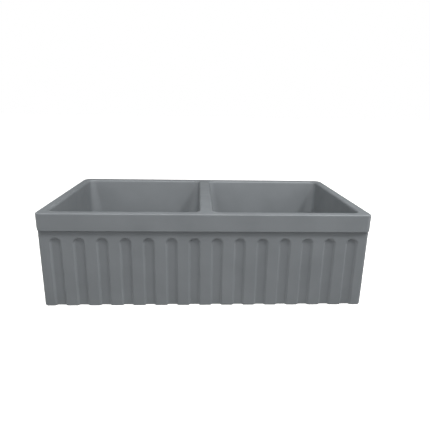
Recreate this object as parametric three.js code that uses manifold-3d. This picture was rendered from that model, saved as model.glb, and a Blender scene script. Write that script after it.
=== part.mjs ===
// Farmhouse apron front sink: a fireclay body with two equal bowls, a fluted apron on one
// side and a plain one on the other, and a basket strainer in the drain of each bowl.
// Millimetres, +Z up, +X to the right, fluted apron towards -Y, origin in the middle of the base.
import * as THREE from 'three';
import { mergeVertices } from 'three/addons/utils/BufferGeometryUtils.js';
import Module from 'manifold-3d';

const wasm = await Module();
wasm.setup();

// ---- Fireclay body: outside
const sinkWidth = 838.2;
const sinkDepth = 457.2;
const sinkHeight = 254;
const lipHeight = 45.5; // rim band, from the top of the rim down to its underside
const frontLipProjection = 6.5; // how far the band stands out over the fluted apron
const rearLipProjection = 9.5;
const sideLipProjection = 1;
const lipCornerRadius = 17;
const bodyCornerRadius = 9;
const lipTopRadius = 4.5;
const lipUnderRadius = 3;
const baseEdgeRadius = 6;

// ---- Flutes of the apron
const flutePitch = 57.8;
const fluteWidth = 32;
const fluteWallWidth = 6; // rounded wall on each side of a flute's flat bottom
const fluteDepth = 5;
const fluteTopGap = 17.5; // plain strip between the underside of the band and the arches
const fluteEndMargin = 10; // least plain strip outside the outer flutes' own pitch

// ---- Bowls
const frontRimWidth = 25;
const rearRimWidth = 26;
const sideRimWidth = 25;
const dividerWidth = 34;
const bowlEdgeRadius = 6; // rounded brim of each bowl
const bowlCornerRadius = 20; // plan corner at the brim
const bowlFootCornerRadius = 42; // plan corner where the wall meets the floor
const bowlDraft = 7; // how far each wall leans in down to the floor
const floorRadius = 32;
const floorFall = 4; // fall of the floor towards the drain
const floorLip = 0.4; // step from the floor down to the strainer's flange
const floorThickness = 19; // fireclay between the flange seat and the gasket seat

// ---- Underside
const footWidth = 32; // ring that the body stands on
const webWidth = 46; // web under the divider
const pocketCornerRadius = 30;
const pocketDraft = 4;

// ---- Strainer body and its hole in the floor
const flangeDiameter = 112;
const flangeOverlap = 11; // how far the flange lies over the floor, all round the drain hole
const drainHoleGap = 3; // between the drain hole and the cup
const flangeThickness = 2;
const flangeDome = 0.8; // fall of the flange from the bore to its edge
const flangeRecessGap = 1; // round the flange, in its recess in the floor
const flangeSealThickness = 1.2;
const cupWall = 2; // above the basket's ledge
const ledgeWidth = 2;
const ledgeDepth = 7; // from the top of the flange down to the basket's ledge
const cupFloorThickness = 2.2;
const threadRunout = 1.8; // thread left below the locknut
const outletDiameter = 48;
const outletBore = 40;
const outletLength = 9;
const outletGroundGap = 1; // between the end of the outlet and the plane of the base
const spiderDrop = 2.5; // cross bars below the seat of the stopper
const spiderThickness = 2.2;
const spokeWidth = 3;
const spokeCount = 4;
const hubDiameter = 14;
const hubBore = 9;

// ---- Gasket, friction ring and locknut under the floor
const gasketWidth = 12; // from the cup outwards
const gasketThickness = 3;
const frictionRingWidth = 11;
const frictionRingThickness = 1.5;
const locknutWidth = 8; // without its lugs
const locknutHeight = 11;
const locknutLugCount = 8;
const locknutLugHeight = 5;
const locknutLugShare = 0.45; // part of the pitch that a lug takes up

// ---- Basket
const basketWall = 1;
const basketRimThickness = 1.5;
const basketSideGap = 0.5; // between the basket's shoulder and the ledge bore
const basketTaper = 6.5; // how much smaller its radius is at the bottom
const basketFootRadius = 4;
const basketHoleDiameter = 4.4;
const basketRowCount = 2;
const basketHolesPerRow = 14;
const basketFloorHoles = 8;
const basketFloorHoleInset = 6; // from the edge of the flat floor in to the middle of its holes

// ---- Stopper: bush in the basket, stem, knob, plate, seal and clip
const stopperTravel = 8;
const stemDiameter = 8;
const spigotDiameter = 6; // thinner ends of the stem
const bushDiameter = 12;
const bushFlangeDiameter = 17;
const bushFlangeThickness = 2.5;
const bushFlareDiameter = 14;
const bushFlareThickness = 1.3;
const knobDiameter = 25;
const knobDiscHeight = 5;
const knobNeckDiameter = 12;
const knobNeckHeight = 6;
const knobEdgeRadius = 1.6;
const knobTopInset = 0.5; // knob below the top of the flange when the drain is shut
const knobCrown = 2.5; // metal left over the stem's upper spigot
const plateDiameter = 44;
const plateThickness = 2;
const stopperSealDiameter = 54;
const stopperSealThickness = 3;
const clipDiameter = 13;
const clipThickness = 1.2;

// ---- Fits
const seatGap = 0.3; // between two pieces that touch
const slideGap = 0.35; // round a piece that slides or is pushed in
const overshoot = 1; // how far a cutter runs past the face that it opens
const barRoot = 0.3; // how far a cross bar runs into the wall that it grows from
const weldDistance = 1e-4; // corners nearer than this are one corner

// ---- Fineness of the round forms
const cornerSteps = 5;
const edgeSteps = 3;
const smallEdgeSteps = 2;
const floorSteps = 4;
const turnSteps = 28;
const smallTurnSteps = 16;
const holeSteps = 6;
const fluteSteps = 20;
const fluteWallSteps = 3;
const lugSteps = 2;

// ---- Places that follow from the sizes
const rim = {
  left: -sinkWidth / 2,
  right: sinkWidth / 2,
  front: -sinkDepth / 2,
  back: sinkDepth / 2,
};
const body = {
  left: rim.left + sideLipProjection,
  right: rim.right - sideLipProjection,
  front: rim.front + frontLipProjection,
  back: rim.back - rearLipProjection,
};
const lipUndersideZ = sinkHeight - lipHeight;

// Round sizes of the strainer, from its flange inwards.
const drainHoleDiameter = flangeDiameter - 2 * flangeOverlap;
const cupDiameter = drainHoleDiameter - 2 * drainHoleGap;
const cupBore = cupDiameter - 2 * cupWall;
const ledgeBore = cupBore - 2 * ledgeWidth;

// Heights of the strainer, counted from the top of its flange.
const flangeSeat = -(flangeThickness + flangeSealThickness + 2 * seatGap);
const gasketSeat = flangeSeat - floorThickness;
const gasketTop = gasketSeat - seatGap;
const frictionRingTop = gasketTop - gasketThickness - seatGap;
const locknutTop = frictionRingTop - frictionRingThickness - seatGap;
const cupBottom = locknutTop - locknutHeight - threadRunout;
const cupFloor = cupBottom + cupFloorThickness;
const outletEnd = cupBottom - outletLength;
const spiderTop = cupFloor - spiderDrop;
const spiderBottom = spiderTop - spiderThickness;

// Heights of the basket and the stopper, built up from the stopper's seat.
const stopperSealBottom = cupFloor + seatGap;
const plateBottom = stopperSealBottom + stopperSealThickness + seatGap;
const plateTop = plateBottom + plateThickness;
const bushBottom = plateTop + stopperTravel + seatGap;
const basketBottom = bushBottom + bushFlareThickness + seatGap;
const basketInside = basketBottom + basketWall;
const bushTop = basketInside + seatGap + bushFlangeThickness;
const basketRimBottom = -ledgeDepth + seatGap;
const basketRimTop = basketRimBottom + basketRimThickness;
const knobTop = -knobTopInset;
const knobBottom = knobTop - knobDiscHeight - knobNeckHeight;

const flangeTopZ = outletGroundGap - outletEnd;
const bowlFloorZ = flangeTopZ + floorLip; // lowest part of the floor, beside the flange
const drainY = (rim.front + frontRimWidth + rim.back - rearRimWidth) / 2;
const drainX = (dividerWidth / 2 + rim.right - sideRimWidth) / 2;

// ---- Finishes
const finish = (color, roughness, metalness) => (
  new THREE.MeshStandardMaterial({ color, roughness, metalness })
);
const fireclay = finish(0x73777a, 0.5, 0);
const stainless = finish(0xb9bbbc, 0.3, 1);
const putty = finish(0xa9a499, 0.9, 0);
const rubber = finish(0x2a2b2c, 0.8, 0);
const fibre = finish(0xb39871, 0.95, 0);
const zinc = finish(0x9b9d9c, 0.45, 1);
const brass = finish(0xb9975b, 0.35, 1);
const nylon = finish(0xd9d8d2, 0.5, 0);

// ---- Tools for making solids

// A closed mesh as a solid, with shared corners merged and empty triangles left out.
function solidOf(geometry) {
  geometry.deleteAttribute('normal');
  geometry.deleteAttribute('uv');
  const merged = mergeVertices(geometry, weldDistance);
  const corners = merged.index.array;
  const faces = [];
  for (let i = 0; i < corners.length; i += 3) {
    const [a, b, c] = corners.slice(i, i + 3);
    if (a !== b && b !== c && c !== a) {
      faces.push(a, b, c);
    }
  }
  return new wasm.Manifold(new wasm.Mesh({
    numProp: 3,
    vertProperties: new Float32Array(merged.attributes.position.array),
    triVerts: new Uint32Array(faces),
  }));
}

function geometryOf(solid) {
  const { vertProperties, triVerts } = solid.getMesh();
  const geometry = new THREE.BufferGeometry();
  geometry.setAttribute('position', new THREE.BufferAttribute(vertProperties, 3));
  geometry.setIndex(new THREE.BufferAttribute(triVerts, 1));
  const faceted = geometry.toNonIndexed();
  faceted.computeVertexNormals();
  return faceted;
}

// A solid turned about Z from [radius, height] points that run up its outside.
function turned(profile, steps = turnSteps) {
  const points = profile.map(([radius, height]) => new THREE.Vector2(radius, height));
  return solidOf(new THREE.LatheGeometry(points, steps).rotateX(Math.PI / 2));
}

// A turned ring with a rectangular section.
function washer(outerRadius, innerRadius, bottom, top, steps = turnSteps) {
  const section = [[innerRadius, bottom], [outerRadius, bottom], [outerRadius, top], [innerRadius, top]];
  return turned([...section, section[0]], steps);
}

function rod(radius, bottom, top, steps = turnSteps) {
  return turned([[0, bottom], [radius, bottom], [radius, top], [0, top]], steps);
}

// A rectangle with round corners at height z; inset is a number or one number for each side.
function ring(outline, inset, radius, z) {
  const side = typeof inset === 'number'
    ? { left: inset, right: inset, front: inset, back: inset }
    : inset;
  const left = outline.left + side.left + radius;
  const right = outline.right - side.right - radius;
  const front = outline.front + side.front + radius;
  const back = outline.back - side.back - radius;
  const centres = [[right, back], [left, back], [left, front], [right, front]];
  return centres.flatMap(([x, y], corner) => (
    Array.from({ length: cornerSteps + 1 }, (_, step) => {
      const angle = (corner + step / cornerSteps) * (Math.PI / 2);
      return new THREE.Vector3(x + radius * Math.cos(angle), y + radius * Math.sin(angle), z);
    })
  ));
}

// The points of a ring drawn on to a circle round the middle of a drain.
function circleFrom(points, centre, radius, z) {
  return points.map((point) => {
    const angle = Math.atan2(point.y - centre.y, point.x - centre.x);
    return new THREE.Vector3(
      centre.x + radius * Math.cos(angle),
      centre.y + radius * Math.sin(angle),
      z,
    );
  });
}

// A closed skin over rings of equal point count, listed from the lowest to the highest.
function lofted(rings) {
  const count = rings[0].length;
  const last = (rings.length - 1) * count;
  const faces = [];
  for (let level = 0; level < last; level += count) {
    for (let i = 0; i < count; i += 1) {
      const next = (i + 1) % count;
      const a = level + i;
      const b = level + next;
      faces.push(a, b, b + count, a, b + count, a + count);
    }
  }
  for (let i = 1; i < count - 1; i += 1) {
    faces.push(0, i + 1, i);
    faces.push(last, last + i, last + i + 1);
  }
  const geometry = new THREE.BufferGeometry().setFromPoints(rings.flat());
  geometry.setIndex(faces);
  return solidOf(geometry);
}

// Steps of a quarter turn from 0 to 1: how far in and how far up the round has gone.
function quarter(steps) {
  return Array.from({ length: steps + 1 }, (_, step) => {
    const angle = (step / steps) * (Math.PI / 2);
    return { sine: Math.sin(angle), cosine: Math.cos(angle) };
  });
}

// ---- Fireclay body

function bodyBlock() {
  const rings = quarter(edgeSteps).map(({ sine, cosine }) => (
    ring(body, baseEdgeRadius * (1 - sine), bodyCornerRadius, baseEdgeRadius * (1 - cosine))
  ));
  rings.push(ring(body, 0, bodyCornerRadius, sinkHeight - lipTopRadius));
  return lofted(rings);
}

function rimBand() {
  const under = quarter(edgeSteps).map(({ sine, cosine }) => {
    const endInset = Math.min(lipUnderRadius, sideLipProjection) * (1 - sine);
    const faceInset = lipUnderRadius * (1 - sine);
    const inset = { left: endInset, right: endInset, front: faceInset, back: faceInset };
    return ring(rim, inset, lipCornerRadius, lipUndersideZ + lipUnderRadius * (1 - cosine));
  });
  const top = quarter(edgeSteps).map(({ sine, cosine }) => (
    ring(rim, lipTopRadius * (1 - cosine), lipCornerRadius, sinkHeight - lipTopRadius * (1 - sine))
  ));
  return lofted([...under, ...top]);
}

// A disc with a rounded edge, let into the apron and drawn from the arch down through the base.
function fluteCutter(x) {
  const radius = fluteWidth / 2;
  const archZ = lipUndersideZ - fluteTopGap - radius;
  const wall = quarter(fluteWallSteps).map(({ sine, cosine }) => (
    [radius - fluteWallWidth * (1 - cosine), fluteDepth * sine]
  ));
  const section = [[0, -overshoot], [radius, -overshoot], ...wall, [0, fluteDepth]];
  const disc = turned(section, fluteSteps).rotate([-90, 0, 0]).translate([x, body.front, 0]);
  return wasm.Manifold.hull([disc.translate([0, 0, archZ]), disc.translate([0, 0, -overshoot])]);
}

function fluteCutters() {
  const room = body.right - body.left - 2 * fluteEndMargin;
  const count = Math.floor(room / flutePitch);
  return Array.from({ length: count }, (_, i) => fluteCutter((i - (count - 1) / 2) * flutePitch));
}

// The hollow of the right-hand bowl, with its rounded brim and its falling floor.
function bowlCutter() {
  const brim = {
    left: dividerWidth / 2,
    right: rim.right - sideRimWidth,
    front: rim.front + frontRimWidth,
    back: rim.back - rearRimWidth,
  };
  const footZ = bowlFloorZ + floorFall;
  const floorRings = quarter(floorSteps).reverse().map(({ sine, cosine }) => {
    const inset = bowlDraft + floorRadius * (1 - cosine);
    const corner = bowlFootCornerRadius - floorRadius * (1 - cosine);
    return ring(brim, inset, corner, footZ + floorRadius * (1 - sine));
  });
  const brimRings = quarter(edgeSteps).map(({ sine, cosine }) => {
    const flare = bowlEdgeRadius * (1 - cosine);
    return ring(brim, -flare, bowlCornerRadius + flare, sinkHeight - bowlEdgeRadius * (1 - sine));
  });
  const mouth = ring(
    brim,
    -bowlEdgeRadius,
    bowlCornerRadius + bowlEdgeRadius,
    sinkHeight + overshoot,
  );
  const drain = { x: drainX, y: drainY };
  const recessRadius = flangeDiameter / 2 + flangeRecessGap;
  const flangeEdge = circleFrom(floorRings[0], drain, recessRadius, bowlFloorZ);
  return lofted([flangeEdge, ...floorRings, ...brimRings, mouth]);
}

// The recess for the flange and the hole for the cup.
function drainCutter() {
  const recessRadius = flangeDiameter / 2 + flangeRecessGap;
  const seat = flangeTopZ + flangeSeat;
  const above = bowlFloorZ + floorFall;
  const cutter = turned([
    [0, 0],
    [drainHoleDiameter / 2, 0],
    [drainHoleDiameter / 2, seat],
    [recessRadius, seat],
    [recessRadius, above],
    [0, above],
  ]);
  return cutter.translate([drainX, drainY, 0]);
}

// The hollow under the right-hand bowl, which leaves the foot and the web.
function pocketCutter() {
  const outline = {
    left: webWidth / 2,
    right: body.right - footWidth,
    front: body.front + footWidth,
    back: body.back - footWidth,
  };
  const roof = flangeTopZ + gasketSeat;
  return lofted([
    ring(outline, (-pocketDraft * overshoot) / roof, pocketCornerRadius, -overshoot),
    ring(outline, pocketDraft, pocketCornerRadius, roof),
  ]);
}

function sinkBody() {
  const fluted = bodyBlock().subtract(wasm.Manifold.union(fluteCutters()));
  const block = fluted.add(rimBand());
  const rightHollows = wasm.Manifold.union([bowlCutter(), drainCutter(), pocketCutter()]);
  const leftHollows = rightHollows.mirror([1, 0, 0]);
  return block.subtract(rightHollows).subtract(leftHollows);
}

// ---- Strainer, with its heights counted from the top of the flange

function strainerBody() {
  const flange = flangeDiameter / 2;
  const cup = cupDiameter / 2;
  const bore = cupBore / 2;
  const ledge = ledgeBore / 2;
  const outlet = outletDiameter / 2;
  const throat = outletBore / 2;
  const profile = [
    [throat, outletEnd],
    [outlet, outletEnd],
    [outlet, cupBottom],
    [cup, cupBottom],
    [cup, -flangeThickness],
    [flange, -flangeThickness],
    [flange, -flangeDome],
    [bore + flangeDome, 0],
    [bore, -flangeDome],
    [bore, -ledgeDepth],
    [ledge, -ledgeDepth],
    [ledge, cupFloor],
    [throat, cupFloor],
    [throat, outletEnd],
  ];
  const reach = throat + barRoot;
  const spoke = new THREE.BoxGeometry(reach, spokeWidth, spiderThickness);
  spoke.translate(reach / 2, 0, spiderTop - spiderThickness / 2);
  const spokes = Array.from({ length: spokeCount }, (_, i) => (
    solidOf(spoke.clone().rotateZ((i * 2 * Math.PI) / spokeCount))
  ));
  const hub = rod(hubDiameter / 2, spiderBottom, spiderTop, smallTurnSteps);
  const hole = rod(
    hubBore / 2,
    spiderBottom - overshoot,
    spiderTop + overshoot,
    smallTurnSteps,
  );
  const spider = wasm.Manifold.union([hub, ...spokes]).subtract(hole);
  return turned(profile).add(spider);
}

// A ring nut with lugs that a spanner or a drift can turn.
function locknut() {
  const inner = cupDiameter / 2 + slideGap;
  const outer = cupDiameter / 2 + locknutWidth;
  const pitch = (2 * Math.PI) / locknutLugCount;
  const outline = new THREE.Shape();
  for (let i = 0; i < locknutLugCount; i += 1) {
    const lugStart = i * pitch;
    const lugEnd = lugStart + pitch * locknutLugShare;
    const nextLug = lugStart + pitch;
    outline.absarc(0, 0, outer + locknutLugHeight, lugStart, lugEnd);
    outline.absarc(0, 0, outer, lugEnd, nextLug);
  }
  outline.closePath();
  const options = { depth: locknutHeight, bevelEnabled: false, curveSegments: lugSteps };
  const blank = solidOf(new THREE.ExtrudeGeometry(outline, options));
  const nut = blank.subtract(rod(inner, -overshoot, locknutHeight + overshoot));
  return nut.translate([0, 0, locknutTop - locknutHeight]);
}

function basket() {
  const rimRadius = cupBore / 2 - slideGap;
  const shoulder = ledgeBore / 2 - basketSideGap;
  const foot = shoulder - basketTaper;
  const hub = bushDiameter / 2 + slideGap;
  const inside = foot - basketFootRadius;
  const wallBottom = basketBottom + basketFootRadius;
  const footRound = (radius) => quarter(smallEdgeSteps).map(({ sine, cosine }) => (
    [inside + radius * sine, wallBottom - radius * cosine]
  ));
  const shell = turned([
    [hub, basketBottom],
    ...footRound(basketFootRadius),
    [shoulder, basketRimBottom],
    [rimRadius, basketRimBottom],
    [rimRadius, basketRimTop],
    [shoulder - basketWall, basketRimTop],
    ...footRound(basketFootRadius - basketWall).reverse(),
    [hub, basketInside],
    [hub, basketBottom],
  ]);
  const drill = new THREE.CylinderGeometry(
    basketHoleDiameter / 2,
    basketHoleDiameter / 2,
    2 * basketTaper,
    holeSteps,
  );
  const rowPitch = (basketRimBottom - wallBottom) / basketRowCount;
  const cutters = [];
  for (let row = 0; row < basketRowCount; row += 1) {
    const height = wallBottom + rowPitch * (row + 0.5);
    const share = (height - wallBottom) / (basketRimBottom - wallBottom);
    const radius = foot + basketTaper * share;
    for (let i = 0; i < basketHolesPerRow; i += 1) {
      const angle = ((i + (row % 2) / 2) * 2 * Math.PI) / basketHolesPerRow;
      cutters.push(solidOf(drill.clone().translate(0, radius, height).rotateZ(angle)));
    }
  }
  const floorDrill = drill.clone().rotateX(Math.PI / 2);
  for (let i = 0; i < basketFloorHoles; i += 1) {
    const angle = (i * 2 * Math.PI) / basketFloorHoles;
    const place = floorDrill.clone().translate(inside - basketFloorHoleInset, 0, basketBottom);
    cutters.push(solidOf(place.rotateZ(angle)));
  }
  return shell.subtract(wasm.Manifold.union(cutters));
}

// A grommet-like bush: a flange over the basket's floor and a flare under it.
function basketBush() {
  const bore = stemDiameter / 2 + slideGap;
  const barrel = bushDiameter / 2;
  const flareTop = bushBottom + bushFlareThickness;
  return turned([
    [bore, bushBottom],
    [bushFlareDiameter / 2, bushBottom],
    [bushFlareDiameter / 2, flareTop],
    [barrel, flareTop],
    [barrel, bushTop - bushFlangeThickness],
    [bushFlangeDiameter / 2, bushTop - bushFlangeThickness],
    [bushFlangeDiameter / 2, bushTop],
    [bore, bushTop],
    [bore, bushBottom],
  ], smallTurnSteps);
}

function stopperStem() {
  const shank = stemDiameter / 2;
  const spigot = spigotDiameter / 2;
  return turned([
    [0, spiderBottom],
    [spigot, spiderBottom],
    [spigot, plateTop + seatGap],
    [shank, plateTop + seatGap],
    [shank, knobBottom - seatGap],
    [spigot, knobBottom - seatGap],
    [spigot, knobTop - knobCrown - seatGap],
    [0, knobTop - knobCrown - seatGap],
  ], smallTurnSteps);
}

function stopperKnob() {
  const bore = spigotDiameter / 2 + slideGap;
  const neck = knobNeckDiameter / 2;
  const edge = knobDiameter / 2;
  const discBottom = knobBottom + knobNeckHeight;
  return turned([
    [0, knobTop - knobCrown],
    [bore, knobTop - knobCrown],
    [bore, knobBottom],
    [neck, knobBottom],
    [neck, discBottom],
    [edge - knobEdgeRadius, discBottom],
    [edge, discBottom + knobEdgeRadius],
    [edge, knobTop - knobEdgeRadius],
    [edge - knobEdgeRadius, knobTop],
    [0, knobTop],
  ], smallTurnSteps);
}

// ---- The assembly

const sink = new THREE.Group();

function addPiece(parent, name, solid, material) {
  const mesh = new THREE.Mesh(geometryOf(solid), material.clone());
  mesh.name = name;
  parent.add(mesh);
}

function addStrainer(side, x) {
  const strainer = new THREE.Group();
  strainer.position.set(x, drainY, flangeTopZ);
  const add = (piece, solid, material) => addPiece(strainer, `${piece}_${side}`, solid, material);
  const cupRadius = cupDiameter / 2;
  const nearCup = cupRadius + slideGap;
  const nearSpigot = spigotDiameter / 2 + slideGap;
  const sealRadii = [flangeDiameter / 2 - seatGap, drainHoleDiameter / 2 + seatGap];

  add('strainer_body', strainerBody(), stainless);
  add('flange_seal', washer(...sealRadii, flangeSeat + seatGap, -flangeThickness - seatGap), putty);
  add('rubber_gasket', washer(
    cupRadius + gasketWidth,
    nearCup,
    gasketTop - gasketThickness,
    gasketTop,
  ), rubber);
  add('friction_ring', washer(
    cupRadius + frictionRingWidth,
    nearCup,
    frictionRingTop - frictionRingThickness,
    frictionRingTop,
  ), fibre);
  add('locknut', locknut(), zinc);

  add('basket', basket(), stainless);
  add('basket_bush', basketBush(), nylon);

  add('stopper_stem', stopperStem(), brass);
  add('stopper_knob', stopperKnob(), stainless);
  add('stopper_plate', washer(plateDiameter / 2, nearSpigot, plateBottom, plateTop), stainless);
  add('stopper_seal', washer(
    stopperSealDiameter / 2,
    nearSpigot,
    stopperSealBottom,
    stopperSealBottom + stopperSealThickness,
  ), rubber);
  const clipTop = stopperSealBottom - seatGap;
  add('stem_clip', washer(
    clipDiameter / 2,
    nearSpigot,
    clipTop - clipThickness,
    clipTop,
    smallTurnSteps,
  ), stainless);
  sink.add(strainer);
}

addPiece(sink, 'sink_body', sinkBody(), fireclay);
addStrainer('left', -drainX);
addStrainer('right', drainX);

export default sink;
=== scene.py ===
from math import atan2, cos, hypot, pi, radians, sin

import bmesh
import bpy
from mathutils import Matrix, Vector


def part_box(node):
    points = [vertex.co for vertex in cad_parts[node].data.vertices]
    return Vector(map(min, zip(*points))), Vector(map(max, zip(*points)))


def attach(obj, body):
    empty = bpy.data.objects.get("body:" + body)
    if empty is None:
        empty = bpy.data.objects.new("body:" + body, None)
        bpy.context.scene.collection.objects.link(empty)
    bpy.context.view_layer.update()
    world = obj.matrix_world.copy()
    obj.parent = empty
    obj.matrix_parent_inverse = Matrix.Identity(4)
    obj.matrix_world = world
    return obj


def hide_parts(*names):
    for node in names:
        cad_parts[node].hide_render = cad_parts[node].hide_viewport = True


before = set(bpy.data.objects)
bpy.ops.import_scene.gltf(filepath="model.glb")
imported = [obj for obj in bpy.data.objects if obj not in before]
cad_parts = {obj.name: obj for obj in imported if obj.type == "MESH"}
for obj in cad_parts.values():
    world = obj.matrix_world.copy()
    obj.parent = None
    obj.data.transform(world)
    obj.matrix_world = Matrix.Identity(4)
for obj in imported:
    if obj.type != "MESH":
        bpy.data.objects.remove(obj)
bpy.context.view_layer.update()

mm = 0.001  # sizes below are in millimetres, Blender's are in metres
weldGap = 0.001 * mm  # points nearer than this are one point
tiny = 1e-6  # what rounding may leave of nothing
sides = {"left": -1, "right": 1}
shading = {
    "sharpFrom": 50,  # degrees between two faces from which their edge stays sharp
    "flatWeight": 60,  # how far a large face rules the shading of the small ones beside it
}

camera = {
    "place": (-21, -1149, 515),
    "down": 15.89,  # degrees below level
    "right": 2.63,  # degrees to the right of straight ahead
    "roll": 1.06,
    "lens": 32.55,
    "sensor": 36,
}


def addCamera():
    data = bpy.data.cameras.new("camera")
    data.lens = camera["lens"]
    data.sensor_width = camera["sensor"]
    eye = bpy.data.objects.new("camera", data)
    eye.matrix_world = (
        Matrix.Translation(Vector(camera["place"]) * mm)
        @ Matrix.Rotation(-radians(camera["right"]), 4, "Z")
        @ Matrix.Rotation(radians(90 - camera["down"]), 4, "X")
        @ Matrix.Rotation(radians(camera["roll"]), 4, "Z")
    )
    bpy.context.scene.collection.objects.link(eye)
    bpy.context.scene.camera = eye


addCamera()
print("camera is in place")


# A grid whose points are laid one by one; column and row count from 0 along its two sides.
def laySkin(bm, columns, rows, place, coat=0):
    grid = bmesh.ops.create_grid(bm, x_segments=columns, y_segments=rows, size=0.5)
    for vert in grid["verts"]:
        column = round((vert.co.x + 0.5) * columns)
        row = round((vert.co.y + 0.5) * rows)
        vert.co = Vector(place(column, row)) * mm
    for face in {face for vert in grid["verts"] for face in vert.link_faces}:
        face.material_index = coat


# A quarter round of a fillet: how far it has gone ahead and how far aside at each step.
def quarterRound(radius, steps):
    angles = [pi / 2 * step / steps for step in range(steps + 1)]
    return [(radius * sin(angle), radius * (1 - cos(angle))) for angle in angles]


# Draws each corner of an outline round. A corner is its radius, its height and its softness,
# which is how far before it and after it the round begins and ends.
def softened(corners, closed=True, steps=4):
    path = []
    for i, (radius, height, soft) in enumerate(corners):
        corner = Vector((radius, height))
        if not soft:
            path.append(corner)
            continue
        before = Vector(corners[i - 1][:2])
        after = Vector(corners[(i + 1) % len(corners)][:2])
        start = corner + (before - corner).normalized() * soft
        end = corner + (after - corner).normalized() * soft
        for step in range(steps + 1):
            share = step / steps
            path.append(start.lerp(corner, share).lerp(corner.lerp(end, share), share))
    return path + path[:1] if closed else path


# Turns an outline of (radius, height) points round an upright axis, then lets radiusAt(angle,
# radius, height) draw it out of round, for a thread, lugs or teeth.
def turn(bm, centre, path, columns, radiusAt=None):
    before = set(bm.verts)
    outline = [bm.verts.new(Vector((radius, 0, height)) * mm) for radius, height in path]
    edges = [bm.edges.new(pair) for pair in zip(outline, outline[1:])]
    bmesh.ops.spin(
        bm, geom=outline + edges, cent=(0, 0, 0), axis=(0, 0, 1), angle=2 * pi,
        steps=columns, use_merge=True,
    )
    for vert in set(bm.verts) - before:
        if radiusAt:
            radius = hypot(vert.co.x, vert.co.y) / mm
            angle = atan2(vert.co.y, vert.co.x)
            reach = radiusAt(angle, radius, vert.co.z / mm) * mm
            vert.co.xy = reach * cos(angle), reach * sin(angle)
        vert.co += Vector(centre) * mm


def washerPath(inner, outer, bottom, top, soft):
    corners = [(inner, bottom), (outer, bottom), (outer, top), (inner, top)]
    return softened([(radius, height, soft) for radius, height in corners])


def finishPiece(name, bm, body, nodes, materials):
    bmesh.ops.remove_doubles(bm, verts=bm.verts, dist=weldGap)
    bmesh.ops.recalc_face_normals(bm, faces=bm.faces)
    mesh = bpy.data.meshes.new(name)
    bm.to_mesh(mesh)
    bm.free()
    mesh.shade_smooth()
    mesh.set_sharp_from_angle(angle=radians(shading["sharpFrom"]))
    for material in materials:
        mesh.materials.append(material)
    piece = bpy.data.objects.new(name, mesh)
    bpy.context.scene.collection.objects.link(piece)
    normals = piece.modifiers.new("even shading", "WEIGHTED_NORMAL")
    normals.mode = "FACE_AREA"
    normals.weight = shading["flatWeight"]
    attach(piece, body)
    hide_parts(*nodes)


# Turns an sRGB hex value to linear light by the standard curve.
def linear(hexColour):
    channels = [int(hexColour[i:i + 2], 16) / 255 for i in (1, 3, 5)]
    bright = [c / 12.92 if c <= 0.04045 else ((c + 0.055) / 1.055) ** 2.4 for c in channels]
    return (*bright, 1)


# Settings are attributes of the node or, failing that, values of its inputs.
def addNode(tree, kind, settings=None, links=None):
    node = tree.nodes.new(kind)
    for name, value in (settings or {}).items():
        if isinstance(name, str) and hasattr(node, name):
            setattr(node, name, value)
        else:
            node.inputs[name].default_value = value
    for name, source in (links or {}).items():
        tree.links.new(source, node.inputs[name])
    return node


def newMaterial(name, settings):
    material = bpy.data.materials.new(name)
    material.use_nodes = True
    surface = material.node_tree.nodes["Principled BSDF"]
    for socket, value in settings.items():
        surface.inputs[socket].default_value = value
    return material


# Winds a pattern round an upright axis, so that it makes fine rings that hardly change along
# their way. The axis stands at the same distance on both sides of the sink's middle, so one
# material serves the left piece and the right one.
def woundRound(tree, place, axis, spacing):
    split = addNode(tree, "ShaderNodeSeparateXYZ", links={"Vector": place}).outputs
    away = addNode(tree, "ShaderNodeMath", {"operation": "ABSOLUTE"}, {0: split["X"]}).outputs[0]
    settings = {"operation": "SUBTRACT", 1: axis[0] * mm}
    x = addNode(tree, "ShaderNodeMath", settings, {0: away}).outputs[0]
    settings = {"operation": "SUBTRACT", 1: axis[1] * mm}
    y = addNode(tree, "ShaderNodeMath", settings, {0: split["Y"]}).outputs[0]
    flat = addNode(tree, "ShaderNodeCombineXYZ", links={"X": x, "Y": y}).outputs["Vector"]
    settings = {"operation": "LENGTH"}
    radius = addNode(tree, "ShaderNodeVectorMath", settings, {0: flat}).outputs["Value"]
    settings = {"operation": "ARCTAN2"}
    angle = addNode(tree, "ShaderNodeMath", settings, {0: y, 1: x}).outputs[0]
    settings = {"operation": "MULTIPLY", 1: spacing * mm}
    slow = addNode(tree, "ShaderNodeMath", settings, {0: angle}).outputs[0]
    links = {"X": radius, "Y": slow, "Z": split["Z"]}
    return addNode(tree, "ShaderNodeCombineXYZ", links=links).outputs["Vector"]


# What a layer of a finish has where its own row doesn't say otherwise.
plainLayer = {
    "detail": 2,
    "crisp": 0.5,  # how strong the finer grains are beside the coarse ones
    "between": (0.3, 0.7),  # values of the pattern where it starts to act and acts fully
    "strength": (0, 1),  # of the tint, at these two values
}


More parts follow.
